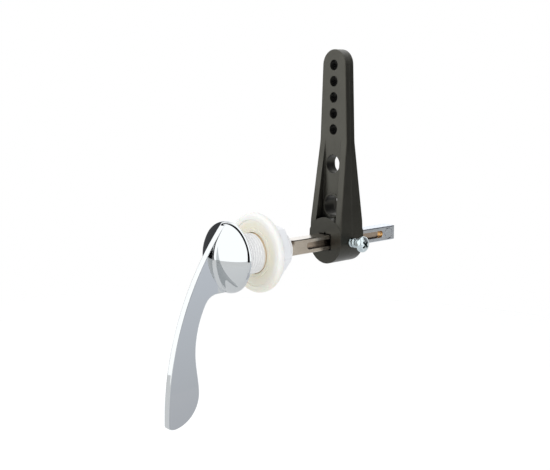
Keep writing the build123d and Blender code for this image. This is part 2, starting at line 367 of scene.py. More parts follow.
def swing_between(start, tangents, end, steps):
    """Smooth curve between two points with a tangent at each, as strong as the chord is long."""
    start, end = np.array(start), np.array(end)
    strength = np.linalg.norm(end - start)
    first, last = (unit(t) for t in tangents)
    s = np.linspace(0, 1, steps + 1)[:, None]
    points = ((2 * s**3 - 3 * s**2 + 1) * start + (s**3 - 2 * s**2 + s) * strength * first
              + (-2 * s**3 + 3 * s**2) * end + (s**3 - s**2) * strength * last)
    along = ((6 * s**2 - 6 * s) * start + (3 * s**2 - 4 * s + 1) * strength * first
             + (-6 * s**2 + 6 * s) * end + (3 * s**2 - 2 * s) * strength * last)
    return points, unit(along)


def backwards(run):
    """The same run of points and tangents in the other direction."""
    return run[0][::-1], -run[1][::-1]


def thread_radius(stations, angles, s):
    """Radius of a rounded thread at each station and angle."""
    root_share, flank_share = 0.18, 0.62
    phase = (stations[:, None] / s.pitch - angles[None, :] / (2 * math.pi)) % 1.0
    rise = np.clip((1 - np.abs(2 * phase - 1) - root_share) / flank_share, 0, 1)
    return s.thread_radius - s.depth + s.depth * rise * rise * (3 - 2 * rise)


def tube_surface(stations, angles, radii):
    """Points and normals of a tube about the Y axis whose radius changes along and around it."""
    cos, sin = np.cos(angles)[None, :], np.sin(angles)[None, :]
    around = (np.roll(radii, -1, 1) - np.roll(radii, 1, 1)) / (2 * (angles[1] - angles[0]))
    along = np.gradient(radii, stations, axis=0)
    points = np.stack([radii * cos, np.broadcast_to(stations[:, None], radii.shape), radii * sin], axis=-1)
    slope = around / radii
    normals = np.stack([cos + slope * sin, -along, sin - slope * cos], axis=-1)
    return points, unit(normals)


def settle(piece, body, node):
    """Makes a new piece ride on its body and stand for its CAD node, which it hides."""
    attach(piece, body)
    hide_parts(node)


def dress(node, material):
    """Gives its finish to a CAD node that is shown as it is."""
    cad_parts[node].material_slots[0].material = material


# Shader tools

ACROSS = (1, 0, 1)
SOCKET_KINDS = {"Colour": "Color", "Cloud": "Color", "Pit Colour": "Color", "Normal": "Vector"}


def rgba(value):
    """Colour of a setting with full alpha."""
    return (*value, 1.0)


class Weave:
    """Node tree of a material, group or world; each way to add a node gives the node's outputs."""

    def __init__(self, tree):
        self.tree = tree

    def join(self, source, socket):
        """Links an output to a socket, or sets the socket to a plain value."""
        if hasattr(source, "is_output"):
            self.tree.links.new(source, socket)
        else:
            socket.default_value = source

    def feed(self, sockets, **sources):
        """Joins sources to sockets by name, with _ for spaces."""
        for key, source in sources.items():
            self.join(source, sockets[key.replace("_", " ")])

    def node(self, kind, links=None, **values):
        """New node; links joins its inputs by name or number, values set its own properties."""
        made = self.tree.nodes.new("ShaderNode" + kind)
        for key, value in values.items():
            setattr(made, key, value)
        for key, source in (links or {}).items():
            self.join(source, made.inputs[key])
        return made.outputs

    def group(self, name, **sources):
        """Shared group, made at its first use."""
        if name not in bpy.data.node_groups:
            GROUP_MAKERS[name](name)
        placed = self.tree.nodes.new("ShaderNodeGroup")
        placed.node_tree = bpy.data.node_groups[name]
        self.feed(placed.inputs, **sources)
        return placed.outputs

    def math(self, operation, *sources):
        """Math over numbers and sockets."""
        return self.node("Math", dict(enumerate(sources)), operation=operation)[0]

    def times(self, first, *others):
        """Product of numbers and sockets."""
        for other in others:
            first = self.math("MULTIPLY", first, other)
        return first

    def between(self, value, low, high):
        """Mask of the values between two limits."""
        return self.times(self.math("GREATER_THAN", value, low), self.math("LESS_THAN", value, high))

    def vector(self, operation, *sources):
        """Vector Math over vectors and sockets."""
        made = self.node("VectorMath", dict(enumerate(sources)), operation=operation)
        return made["Value" if operation in ("LENGTH", "DOT_PRODUCT") else "Vector"]

    def mix(self, factor, first, second, blend="MIX"):
        """Mix of two colours."""
        return self.node("Mix", {0: factor, 6: first, 7: second}, data_type="RGBA", blend_type=blend)[2]

    def remap(self, value, low, high, to_low=0.0, to_high=1.0):
        """Smooth Map Range."""
        links = dict(enumerate((value, low, high, to_low, to_high)))
        return self.node("MapRange", links, interpolation_type="SMOOTHSTEP")[0]

    def noise(self, place, scale, detail):
        """Noise texture."""
        return self.node("TexNoise", {"Vector": place, "Scale": scale, "Detail": detail})

    def bump(self, height, distance, **normal):
        """Normal bumped by a height, over another normal where one is given."""
        return self.node("Bump", {"Height": height, "Distance": distance, **normal})[0]

    def spot(self):
        """Place on the piece, in the frame of the model."""
        return self.node("TexCoord")["Object"]

    def split(self, vector):
        """X, Y and Z of a vector."""
        return self.node("SeparateXYZ", {0: vector})

    def facing(self, axis):
        """How far the surface faces along an axis, either way."""
        return self.math("ABSOLUTE", self.split(self.node("NewGeometry")["Normal"])[axis])


class Finish(Weave):
    """Material with a Principled BSDF whose plain values are set on its own sockets."""

    def __init__(self, name, **values):
        self.material = bpy.data.materials.new(name)
        self.material.use_nodes = True
        super().__init__(self.material.node_tree)
        self.shader = next(n for n in self.tree.nodes if n.type == "BSDF_PRINCIPLED").inputs
        self.feed(self.shader, **values)

    def moulded(self, tone, cloud_share, **values):
        """Moulded skin whose clouds are a darker share of its colour."""
        cloud = rgba([c * cloud_share for c in tone])
        return self.group("Moulded skin", Colour=rgba(tone), Cloud=cloud, **values)

    def done(self, **sources):
        """The material, with the last sources joined to its shader."""
        self.feed(self.shader, **sources)
        return self.material


def shader_group(name, inputs, outputs):
    """Empty shared group as a weave, with its given sockets and its result's."""
    group = bpy.data.node_groups.new(name, "ShaderNodeTree")
    for in_out, labels in (("INPUT", inputs), ("OUTPUT", outputs)):
        for label in labels:
            kind = "NodeSocket" + SOCKET_KINDS.get(label, "Float")
            group.interface.new_socket(label, in_out=in_out, socket_type=kind)
    given = group.nodes.new("NodeGroupInput").outputs
    return Weave(group), given, group.nodes.new("NodeGroupOutput").inputs


def moulded_skin(name):
    """Group for moulded plastic: cloudy colour, uneven gloss and a fine grain."""
    w, given, result = shader_group(
        name, ("Colour", "Cloud", "Cloud Scale", "Grain Scale", "Dull", "Spread"),
        ("Colour", "Roughness", "Height"))
    spot = w.spot()
    grain = w.noise(spot, given["Grain Scale"], 2.0)[0]
    patch = w.remap(w.noise(spot, given["Cloud Scale"], 3.0)[0], 0.35, 0.7)
    sway = w.math("MULTIPLY_ADD", grain, 0.5, w.times(patch, 0.5))
    swing = w.times(w.math("SUBTRACT", sway, 0.5), given["Spread"])
    w.feed(result, Colour=w.mix(patch, given["Colour"], given["Cloud"]),
           Roughness=w.math("ADD", given["Dull"], swing), Height=grain)


def cast_grain(name):
    """Group for cast metal: sandy grain, scattered pits and a cloudy tone."""
    w, given, result = shader_group(
        name, ("Colour", "Pit Colour", "Grain Scale", "Pit Scale", "Pit Size", "Dull"),
        ("Colour", "Roughness", "Height"))
    raggedness, pitless_share, cloud_scale = 0.6 * MM, 0.62, 160.0
    spot = w.spot()
    grain = w.noise(spot, given["Grain Scale"], 4.0)
    ragged = w.vector("MULTIPLY_ADD", grain["Color"], (raggedness,) * 3, spot)
    cells = w.node("TexVoronoi", {"Vector": ragged, "Scale": given["Pit Scale"]})
    chosen = w.math("GREATER_THAN", w.node("SeparateColor", {"Color": cells["Color"]})[0], pitless_share)
    pit = w.times(w.math("LESS_THAN", cells["Distance"], given["Pit Size"]), chosen)
    cloud = w.times(w.noise(spot, cloud_scale, 3.0)[0], 0.4)
    tone = w.remap(w.math("MULTIPLY_ADD", grain[0], 0.6, cloud), 0.34, 0.66, 0.86, 1.06)
    lit = w.mix(1.0, given["Colour"], tone, "MULTIPLY")
    w.feed(result, Colour=w.mix(pit, lit, given["Pit Colour"]),
           Roughness=w.math("MULTIPLY_ADD", grain[0], 0.16, given["Dull"]),
           Height=w.math("SUBTRACT", grain[0], w.times(pit, 1.5)))


def polish_marks(name):
    """Group for plated metal: hair-fine polishing marks in the gloss and a faint swell in the surface."""
    w, given, result = shader_group(
        name, ("Shine", "Marks", "Mark Scale", "Swell Scale"), ("Roughness", "Height"))
    spot = w.spot()
    drawn = w.node("Mapping", {"Vector": spot, "Scale": (1.0, 1.0, 0.05), "Rotation": (0.3, 0, 0)})[0]
    marks = w.remap(w.noise(drawn, given["Mark Scale"], 2.0)[0], 0.52, 0.72)
    w.feed(result, Roughness=w.math("MULTIPLY_ADD", marks, given["Marks"], given["Shine"]),
           Height=w.noise(spot, given["Swell Scale"], 1.0)[0])


def rubbed_and_lit_edges(name):
    """Group that finds edges: how far the normal turns within a small radius, and the softened normal; its
    mask paints edges paler, as wear and as painted highlight.
    """
    w, given, result = shader_group(name, ("Radius", "Low", "High"), ("Mask", "Normal"))
    bevel = w.node("Bevel", {"Radius": given["Radius"]}, samples=6)[0]
    same = w.vector("DOT_PRODUCT", bevel, w.node("NewGeometry")["Normal"])
    bend = w.math("SUBTRACT", 1.0, same)
    w.feed(result, Mask=w.remap(bend, given["Low"], given["High"]), Normal=bevel)


def painted_hollow_shade(name):
    """Group that finds corners and gaps where shade falls, from how shut in the surface is; its mask is used
    to paint shade there.
    """
    w, given, result = shader_group(name, ("Reach", "Open", "Shut"), ("Mask",))
    shade = w.node("AmbientOcclusion", {"Distance": given["Reach"]}, samples=6)["AO"]
    w.feed(result, Mask=w.remap(shade, given["Open"], given["Shut"]))


GROUP_MAKERS = {
    "Moulded skin": moulded_skin,
    "Cast grain": cast_grain,
    "Polish marks": polish_marks,
    "Rubbed and lit edges": rubbed_and_lit_edges,
    "Painted hollow shade": painted_hollow_shade,
}


# Finishes


def chrome_finish(s):
    """Mirror plating on a polished casting."""
    f = Finish("Handle chrome", Metallic=1.0, Base_Color=rgba(s.chrome))
    marks = f.group("Polish marks", Shine=0.025, Marks=0.03, Mark_Scale=1400.0, Swell_Scale=45.0)
    return f.done(Roughness=marks["Roughness"], Normal=f.bump(marks["Height"], 0.12 * MM))


def nylon_finish(s):
    """White nylon, with painted shade greying it between the threads and a painted warm shade on it in the
    gap where the washer sits.

    On the thread the normals lean towards the plain cylinder, so that its rings stay soft.
    """
    f = Finish("Bush nylon", Specular_IOR_Level=0.45)
    skin = f.moulded(s.nylon, 0.97, Cloud_Scale=160.0, Grain_Scale=4200.0, Dull=0.42, Spread=0.1)
    thread_root_shade = (0.88, 0.88, 0.875, 1)
    fade, lean, first_thread = 0.5 * MM, 1.8, 1.4 * MM
    crest_width, root_slack, root_shade_share = 0.1 * MM, 0.05 * MM, 0.5
    root = s.thread_radius - s.depth
    spot = f.spot()
    flat = f.vector("MULTIPLY", spot, ACROSS)
    away = f.vector("LENGTH", flat)
    station = f.split(spot)["Y"]
    valley = f.remap(away, s.thread_radius - crest_width, root)
    # Painted shade: the colour greys towards the thread roots.
    shaded = f.mix(f.times(valley, root_shade_share), skin["Colour"], thread_root_shade)
    # Painted warm shade in the gap between the bush and the washer's bore.
    sat_on = f.times(f.remap(station, s.gap_shade_start, s.gap_shade_start + fade),
                     f.remap(station, s.gap_shade_end, s.gap_shade_end - fade))
    outward = f.node("VectorTransform", {0: flat}, vector_type="NORMAL", convert_from="OBJECT",
                     convert_to="WORLD")[0]
    threaded = f.times(f.between(station, first_thread, s.end - s.chamfer),
                       f.math("GREATER_THAN", away, root - root_slack), lean)
    leaning = f.vector("MULTIPLY_ADD", f.vector("NORMALIZE", outward), threaded,
                       f.bump(skin["Height"], 0.01 * MM))
    return f.done(Base_Color=f.mix(sat_on, shaded, rgba(s.stain)), Roughness=skin["Roughness"],
                  Normal=f.vector("NORMALIZE", leaning))


def cream_finish(s):
    """Soft cream plastic; painted light makes its rim paler, most of all higher up, and painted warm shade
    fills its sunk ring, gaps and corners.
    """
    f = Finish("Washer cream", Subsurface_Weight=0.1, Subsurface_Scale=1.5 * MM, Specular_IOR_Level=0.3)
    cloud, warm, warm_shade_share, low_share = (0.83, 0.82, 0.75, 1), (0.74, 0.57, 0.37, 1), 0.75, 0.15
    rim_fade = (s.ring_outer - 2.5 * MM, s.ring_outer + 1.2 * MM)
    spot = f.spot()
    away = f.vector("LENGTH", f.vector("MULTIPLY", spot, ACROSS))
    # Painted light: the rim is paler higher up, and lower down keeps more of the warmer face colour.
    upper = f.remap(f.split(spot)["Z"], -s.radius, 0, low_share)
    outer = f.times(upper, f.remap(away, *rim_fade))
    tone = f.mix(outer, rgba(s.cream), rgba(s.pale))
    skin = f.group("Moulded skin", Colour=tone, Cloud=f.mix(0.5, tone, cloud), Cloud_Scale=70.0,
                   Grain_Scale=2600.0, Dull=0.58, Spread=0.14)
    # Painted warm shade where the washer is shut in: its gaps, sunk ring and corners.
    grime = f.group("Painted hollow shade", Reach=3 * MM, Open=0.8, Shut=0.15)["Mask"]
    return f.done(Base_Color=f.mix(f.times(grime, warm_shade_share), skin["Colour"], warm),
                  Roughness=skin["Roughness"], Normal=f.bump(skin["Height"], 0.012 * MM))


def nut_finish(s):
    """White moulding with its edges painted slightly paler, as wear and as painted highlight, and painted
    brownish shade where it is shut in.
    """
    f = Finish("Nut white", Specular_IOR_Level=0.5)
    corner, painted_shade = (0.94, 0.95, 0.96, 1), (0.60, 0.52, 0.42, 1)
    skin = f.moulded(s.white, 0.96, Cloud_Scale=120.0, Grain_Scale=3600.0, Dull=0.36, Spread=0.12)
    edges = f.group("Rubbed and lit edges", Radius=0.4 * MM, Low=0.02, High=0.25)
    # Painted brownish shade where the nut is shut in.
    grime = f.group("Painted hollow shade", Reach=3 * MM, Open=0.75, Shut=0.25)["Mask"]
    # Edges painted paler, as wear and as painted highlight.
    worn_lit_edges = f.mix(edges["Mask"], skin["Colour"], corner)
    return f.done(Base_Color=f.mix(f.times(grime, 0.6), worn_lit_edges, painted_shade), Roughness=skin["Roughness"],
                  Normal=f.bump(skin["Height"], 0.01 * MM, Normal=edges["Normal"]))


def zinc_finish(s):
    """Grainy zinc casting: warm near the nut and cooler at the far end, with a painted brown reflection on
    the groove's floor, a painted gold glint at its far end, painted shade in corners, on the groove's walls
    and by the nut, and edges painted paler as wear and as highlight.
    """
    f = Finish("Spindle zinc", Metallic=1.0)
    worn_and_lit, worn_and_lit_share = (0.86, 0.85, 0.83, 1), 0.5
    far_fade, nut_fade, top_fade = (60 * MM, 98 * MM), (38.4 * MM, 36.4 * MM), (0.5 * MM, 2.8 * MM)
    face_fade, middle_fade = (3.7 * MM, 3.2 * MM), (0, 0.5 * MM)
    glint_fade = (s.groove_far - 3.4 * MM, s.groove_far - 1.4 * MM)
    place = f.split(f.spot())
    far = f.remap(place["Y"], *far_fade)
    plain = f.mix(far, rgba(s.zinc), rgba(s.bright))
    sunk = f.times(f.remap(place["X"], *face_fade), f.remap(place["X"], *middle_fade))
    within = f.math("LESS_THAN", f.math("ABSOLUTE", place["Z"]), s.groove_half)
    within = f.times(within, f.between(place["Y"], s.groove_near, s.groove_far))
    groove = f.times(sunk, within)
    # Painted gold glint at the groove's far end, over the painted brown reflection on its floor.
    glint_share = f.remap(place["Y"], *glint_fade)
    tone = f.mix(groove, plain, f.mix(glint_share, rgba(s.brown), rgba(s.gold)))
    grain = f.group("Cast grain", Colour=tone, Pit_Colour=rgba(s.grime), Grain_Scale=3200.0,
                    Pit_Scale=1050.0, Pit_Size=0.2, Dull=0.15)
    edges = f.group("Rubbed and lit edges", Radius=0.3 * MM, Low=0.03, High=0.3)
    # Painted shade: in corners, on the groove's walls and in the upper corner by the nut.
    corners = f.group("Painted hollow shade", Reach=1.8 * MM, Open=0.5, Shut=0.1)["Mask"]
    # Edges painted paler, as wear and as painted highlight.
    rubbed_and_lit = f.mix(f.times(edges["Mask"], worn_and_lit_share), grain["Colour"], worn_and_lit)
    walls = f.times(groove, f.remap(f.facing("Z"), 0.5, 0.8))
    by_nut = f.times(f.remap(place["Y"], *nut_fade), f.remap(place["Z"], *top_fade))
    painted_shade = f.math("MAXIMUM", f.times(corners, 0.8),
                  f.math("MAXIMUM", f.times(walls, 0.9), f.times(by_nut, 0.85)))
    return f.done(Base_Color=f.mix(painted_shade, rubbed_and_lit, rgba(s.grime)), Roughness=grain["Roughness"],
                  Normal=f.bump(grain["Height"], 0.01 * MM, Normal=edges["Normal"]))


def moulding_finish(s):
    """Black moulding: satin on its faces, with painted light in its sheen, which is lower low down, on its
    flanks and where it is shut in, and painted near-black shade where it is shut in.

    A parting line runs round its middle, and its edges are painted paler, as wear and as painted highlight.
    """
    f = Finish("Arm black", Specular_Tint=(1.0, 0.98, 0.84, 1))
    painted_deep_shade, dimmed, sheens = (0.004, 0.004, 0.004, 1), 0.76, (0.62, 0.06)
    low_fade, flank_fade, edge_fade = (8 * MM, 28 * MM), (0.5, 0.9), (0.7, 0.3)
    place = f.split(f.spot())
    skin = f.moulded(s.black, 0.8, Cloud_Scale=60.0, Grain_Scale=2400.0, Dull=0.36, Spread=0.16)
    edges = f.group("Rubbed and lit edges", Radius=0.4 * MM, Low=0.03, High=0.3)
    shut_in = f.group("Painted hollow shade", Reach=6 * MM, Open=0.6, Shut=0.3)["Mask"]
    # Painted light: the sheen is lower low down, on the flanks and where the arm is shut in.
    upper = f.remap(place["Z"], *low_fade, dimmed, 1.0)
    flank = f.remap(f.facing("X"), *flank_fade, 1.0, dimmed)
    sheen = f.times(upper, flank, f.remap(shut_in, 0, 1, *sheens))
    off = f.math("ABSOLUTE", f.math("SUBTRACT", place["Y"], s.middle))
    line = f.times(f.remap(off, s.parting, s.parting * 0.3), f.remap(f.facing("Y"), *edge_fade))
    # Edges painted paler, as wear and as painted highlight.
    rubbed_and_lit = f.mix(f.times(edges["Mask"], 0.7), skin["Colour"], rgba(s.scuffed))
    lined = f.mix(f.times(line, 0.2), rubbed_and_lit, rgba(s.scuffed))
    height = f.math("MULTIPLY_ADD", line, 1.2, skin["Height"])
    # Painted shade: the colour goes near-black where the arm is shut in.
    return f.done(Base_Color=f.mix(shut_in, lined, painted_deep_shade), Roughness=skin["Roughness"],
                  Specular_IOR_Level=sheen, Normal=f.bump(height, 0.02 * MM, Normal=edges["Normal"]))


def plated_finish(s):
    """Satin zinc plating with painted dark teal shade in the recess and between the threads."""
    f = Finish("Screw plating", Metallic=1.0)
    recess_shade = (0.05, 0.085, 0.085, 1)
    marks = f.group("Polish marks", Shine=0.3, Marks=0.12, Mark_Scale=2600.0, Swell_Scale=300.0)
    grime = f.group("Painted hollow shade", Reach=3 * MM, Open=0.82, Shut=0.45)["Mask"]
    # Painted shade in the cross recess and between the threads.
    return f.done(Base_Color=f.mix(f.times(grime, 0.9), rgba(s.plating), recess_shade),
                  Roughness=marks["Roughness"], Normal=f.bump(marks["Height"], 0.03 * MM))


# Pieces

DOME_SEGMENTS = 160
BUSH_SEGMENTS = 128
WASHER_SEGMENTS = 192
SCREW_SEGMENTS = 72
HEAD_SEGMENTS = 128
CROWN_SEGMENTS = 256
SAME_PLACE = 1e-7
SAME_WAY = 0.02


class Piece:
    """What the operators share: each one builds from its own group of settings."""

    def execute(self, context):
        self.build(getattr(context.scene.cistern_lever, self.part))
        return {"FINISHED"}


def dome_cap(s):
    """Radius of the dome's cap, station of its centre, and the angle where it meets the rounded edge."""
    reach = s.dome_radius - s.dome_edge
    rise = s.dome_height - s.skirt
    radius = (reach**2 + rise**2 - s.dome_edge**2) / (2 * (rise - s.dome_edge))
    return radius, s.rim - s.dome_height + radius, math.asin(reach / (radius - s.dome_edge))


def arc_path(reach, station, radius, low, high, steps, sign=1):
    """Path round a centre at a reach and a station, between two angles from the forward direction.

    Its normals point away from the centre, or to it where sign is -1.
    """
    return [(reach + radius * math.sin(a), station - radius * math.cos(a),
             sign * math.sin(a), -sign * math.cos(a)) for a in np.linspace(low, high, steps + 1)]


def dome_path(s):
    """Section of the dome: outside, lip, hollow inside and the boss for the spindle."""
    cap, centre, lean = dome_cap(s)
    skirt_end = s.rim - s.skirt
    reach = s.dome_radius - s.dome_edge
    inner = s.dome_radius - s.wall
    hollow = cap - s.wall
    boss = math.asin(s.boss_radius / hollow)
    outside = arc_path(0, centre, cap, 0, lean, steps=56)
    edge = arc_path(reach, skirt_end, s.dome_edge, lean, math.pi / 2, steps=28)
    lip = rounded_path([(s.dome_radius, skirt_end, 0), (s.dome_radius, s.rim, s.lip),
                        (inner, s.rim, s.lip / 2), (inner, skirt_end, 0)])
    inside = arc_path(reach, skirt_end, s.dome_edge - s.wall, math.pi / 2, lean, steps=10, sign=-1)
    ceiling = arc_path(0, centre, hollow, lean, boss, steps=24, sign=-1)
    foot = rounded_path([(s.boss_radius, centre - hollow * math.cos(boss), 0),
                         (s.boss_radius, s.boss_face, s.lip / 2), (0, s.boss_face, 0)])
    return outside + edge[1:] + lip[1:] + inside[1:] + ceiling[1:] + foot


def blade_outline(s):
    """Edge of the fin from the dome's top, down the front, round the toe and back under the dome."""
    top_height = s.dome_radius - s.blade_top_inset
    under = -(s.dome_radius - s.underside_inset)
    inside = s.rim - s.wall / 2
    tip = (-s.blade_reach, -s.blade_drop)
    top = (-s.blade_top_reach, top_height)
    toe = (s.toe_back - s.blade_reach, -s.blade_drop - s.toe_drop)
    heel = (s.heel_back - s.blade_reach, s.heel_rise - s.blade_drop)
    waist = (-s.waist_reach, -s.waist_drop)
    root = (-s.root_reach, under)
    chord = np.array(root) - np.array(waist)
    back_radius = (chord @ chord) / (2 * chord[0])
    hub = np.array((waist[0] + back_radius, waist[1]))
    middle_z = under - s.root_radius
    inward = math.sqrt((back_radius - s.root_radius)**2 - (middle_z - hub[1])**2)
    middle = np.array((hub[0] - inward, middle_z))
    touch = hub + unit(middle - hub) * back_radius
    back = arc_from(waist, (0, 1), touch, steps=30)
    corner = arc_from(touch, back[1][-1], (middle[0], under), steps=24)
    sole = arc_from(heel, (0, -1), toe, steps=40)
    nose = swing_between(toe, (sole[1][-1], (0, 1)), tip, steps=24)
    calf = swing_between(waist, ((0, -1), (0, -1)), heel, steps=30)
    lid = (np.array(((inside, top_height), top)), np.array(((-1.0, 0), (-1.0, 0))))
    floor = (np.array(((middle[0], under), (inside, under))), np.array(((1.0, 0), (1.0, 0))))
    front = backwards(arc_from(tip, (0, 1), top, steps=90))
    runs = [lid, front, backwards(nose), backwards(sole), backwards(calf), back, corner, floor]
    points = np.concatenate([run[0] for run in runs])
    tangents = np.concatenate([run[1] for run in runs])
    keep = np.ones(len(points), bool)
    step = np.linalg.norm(np.diff(points, axis=0), axis=1)
    keep[1:] = (step > SAME_PLACE) | (np.abs(np.diff(tangents, axis=0)).max(axis=1) > SAME_WAY)
    return points[keep], right_of(tangents[keep])


def add_blade(skin, s):
    """Adds the fin: a rounded edge along its outline and two flat faces that end inside the dome's wall."""
    outline, outward = blade_outline(s)
    half, edge = s.blade_thickness / 2, s.blade_edge
    ring = []
    for a in np.linspace(0, math.pi / 2, 7):
        ring.append((half - edge + edge * math.cos(a), edge * math.sin(a) - edge, math.cos(a), math.sin(a)))
    ring += [(-x, shift, -nx, n) for x, shift, nx, n in reversed(ring)]
    points, normals = [], []
    for (y, z), (ny, nz) in zip(outline, outward):
        points.append([(x, y + shift * ny, z + shift * nz) for x, shift, nx, n in ring])
        normals.append([(nx, n * ny, n * nz) for x, shift, nx, n in ring])
    skin.grid(points, normals)
    cap, centre, lean = dome_cap(s)
    buried = cap - s.wall / 2
    seat = [(centre - buried * math.cos(a), buried * math.sin(a)) for a in np.linspace(-lean, lean, 40)]
    rim = [(p[0][1], p[0][2]) for p in points] + seat
    triangles = tessellate_polygon([[Vector((y, z, 0)) for y, z in rim]])
    for side in (1, -1):
        skin.add([(side * half, y, z) for y, z in rim], [(side, 0, 0)] * len(rim), triangles)


def add_crease(skin, s):
    """Adds the hollows between the fin's flat faces and the dome, as a ball rolled along both leaves them."""
    highest_share, rows, columns = 0.86, 140, 17
    growth, smallest = 2.5, 0.02 * MM
    cap, centre = dome_cap(s)[:2]
    half = s.blade_thickness / 2
    top = np.array((-s.blade_top_reach, s.dome_radius - s.blade_top_inset))
    tip = np.array((-s.blade_reach, -s.blade_drop))
    chord = top - tip
    front_radius = (chord @ chord) / (2 * chord[0])
    under = s.dome_radius - s.underside_inset
    side = np.array((1.0, 0, 0))
    sweep = np.linspace(0, 1, columns)[:, None]
    points, normals = [], []
    for z in np.linspace(-under + s.blade_edge, under * highest_share, rows):
        front = tip[0] + front_radius - math.sqrt(front_radius**2 - (z - tip[1])**2)
        room = (centre - front - s.blade_edge)**2 + z * z - cap * cap + half * half
        share = (z + under) / (2 * under)
        wanted = s.crease + (s.crease_top - s.crease) * share
        ball = min(wanted, room / (2 * (cap - half)), growth * (z + under) - s.blade_edge)
        ball = max(smallest, ball)
        depth = math.sqrt((cap + ball)**2 - (half + ball)**2 - z * z)
        middle = np.array((half + ball, centre - depth, z))
        out = unit(middle - np.array((0, centre, 0)))
        bend = math.acos(out @ side)
        row = (np.sin((1 - sweep) * bend) * out + np.sin(sweep * bend) * side) / math.sin(bend)
        points.append(middle - ball * row)
        normals.append(row)
    for mirror in ((1, 1, 1), (-1, 1, 1)):
        skin.grid(np.array(points) * mirror, np.array(normals) * mirror)


class LEVER_OT_handle(Piece, Operator):
    """Builds the chromed handle: a hollow dome, a flat fin and the hollows between them"""

    bl_idname = "lever.handle"
    bl_label = "Handle"
    part = "handle"

    def build(self, s):
        skin = Skin()
        skin.turned(dome_path(s), DOME_SEGMENTS)
        add_blade(skin, s)
        add_crease(skin, s)
        settle(skin.make("chrome_handle", chrome_finish(s)), "lever", "handle")


class LEVER_OT_spindle(Piece, Operator):
    """Gives the square spindle its cast zinc"""

    bl_idname = "lever.spindle"
    bl_label = "Spindle"
    part = "spindle"

    def build(self, s):
        dress("spindle", zinc_finish(s))


class LEVER_OT_bush(Piece, Operator):
    """Builds the nylon bush with its thread, head and bore"""

    bl_idname = "lever.bush"
    bl_label = "Bush"
    part = "bush"

    def build(self, s):
        spacing, plain, run_in = 0.1 * MM, 0.8 * MM, 0.6 * MM
        mouth_edge, head_edge, seat_edge, bore_edge = 0.3 * MM, 0.6 * MM, 0.25 * MM, 0.4 * MM
        root, end_radius = s.thread_radius - s.depth, s.thread_radius - s.chamfer
        seam = (s.bore_radius, -s.head + bore_edge, 0)
        angles = round_angles(BUSH_SEGMENTS)
        stations = np.linspace(0, s.end, int(s.end / spacing) + 1)
        relief = np.clip((stations - plain) / run_in, 0, 1)[:, None]
        radii = root + (thread_radius(stations, angles, s) - root) * relief
        radii = np.minimum(radii, (end_radius + (s.end - stations))[:, None])
        skin = Skin()
        skin.grid(*tube_surface(stations, angles, radii), closed=True)
        head = [seam, (s.bore_radius, -s.head, mouth_edge), (s.head_radius, -s.head, head_edge),
                (s.head_radius, 0, seat_edge), (root, 0, 0)]
        bore = [(end_radius, s.end, 0), (s.bore_radius, s.end, bore_edge), seam]
        for corners in (head, bore):
            skin.turned(rounded_path(corners), BUSH_SEGMENTS)
        settle(skin.make("threaded_bush", nylon_finish(s)), "bush", "bush")


class LEVER_OT_washer(Piece, Operator):
    """Builds the sealing washer with its rounded rim and sunk ring"""

    bl_idname = "lever.washer"
    bl_label = "Washer"
    part = "washer"

    def build(self, s):
        front_edge, back_edge, soft_share = 0.25 * MM, 0.35 * MM, 0.45
        sunk = s.front + s.ring_depth
        soft = s.ring_depth * soft_share
        seam = (s.bore_radius, (s.front + s.back) / 2, 0)
        path = rounded_path([
            seam, (s.bore_radius, s.front, front_edge),
            (s.ring_inner, s.front, soft), (s.ring_inner, sunk, soft),
            (s.ring_outer, sunk, soft), (s.ring_outer, s.front, soft),
            (s.radius, s.front, s.edge), (s.radius, s.back, s.edge),
            (s.bore_radius, s.back, back_edge), seam,
        ])
        skin = Skin()
        skin.turned(path, WASHER_SEGMENTS)
        settle(skin.make("cream_washer", cream_finish(s)), "washer", "sealing_washer")


class LEVER_OT_nut(Piece, Operator):
    """Gives the back nut its white moulding"""

    bl_idname = "lever.nut"
    bl_label = "Back nut"
    part = "nut"

    def build(self, s):
        dress("back_nut", nut_finish(s))


class LEVER_OT_arm(Piece, Operator):
    """Gives the lift arm its black moulding"""

    bl_idname = "lever.arm"
    bl_label = "Lift arm"
    part = "arm"

    def build(self, s):
        dress("lift_arm", moulding_finish(s))


def recess_depth(u, v, s):
    """Depth of the cross recess at a place on the head: two tapered bars that are deepest at the middle."""
    wall_width, end_share, fall_share = 0.16 * MM, 0.45, 0.55
    deepest = np.zeros_like(u)
    for a, b in ((u, v), (v, u)):
        inside = np.minimum(s.recess_slot / 2 - np.abs(b), s.recess_span / 2 - np.abs(a))
        wall = np.clip(inside / wall_width, 0, 1)
        fall = end_share + fall_share * np.clip(1 - np.abs(a) / (s.recess_span / 2), 0, 1)
        deepest = np.maximum(deepest, s.recess_depth * fall * wall)
    return deepest


def screw_crown(s, edge):
    """Points and normals of the head's crown from its middle to its edge, finer where the recess is."""
    lean = np.concatenate([np.linspace(0, 0.75, 110), np.linspace(0.77, math.pi / 2, 26)])[:, None]
    around = round_angles(CROWN_SEGMENTS)[None, :]
    cos, sin = np.cos(around), np.sin(around)
    spread = s.head_radius * np.sin(lean) * np.ones_like(around)
    u, v = spread * (cos + sin) / math.sqrt(2), spread * (cos - sin) / math.sqrt(2)
    height = edge + (s.top - edge) * np.cos(lean) - recess_depth(u, v, s)
    points = np.stack([spread * cos, height, spread * sin], axis=-1)
    across = np.roll(points, -1, 1) - np.roll(points, 1, 1)
    normals = np.cross(across, np.gradient(points, axis=0))
    normals[0] = (0, 1, 0)
    return points, unit(normals)


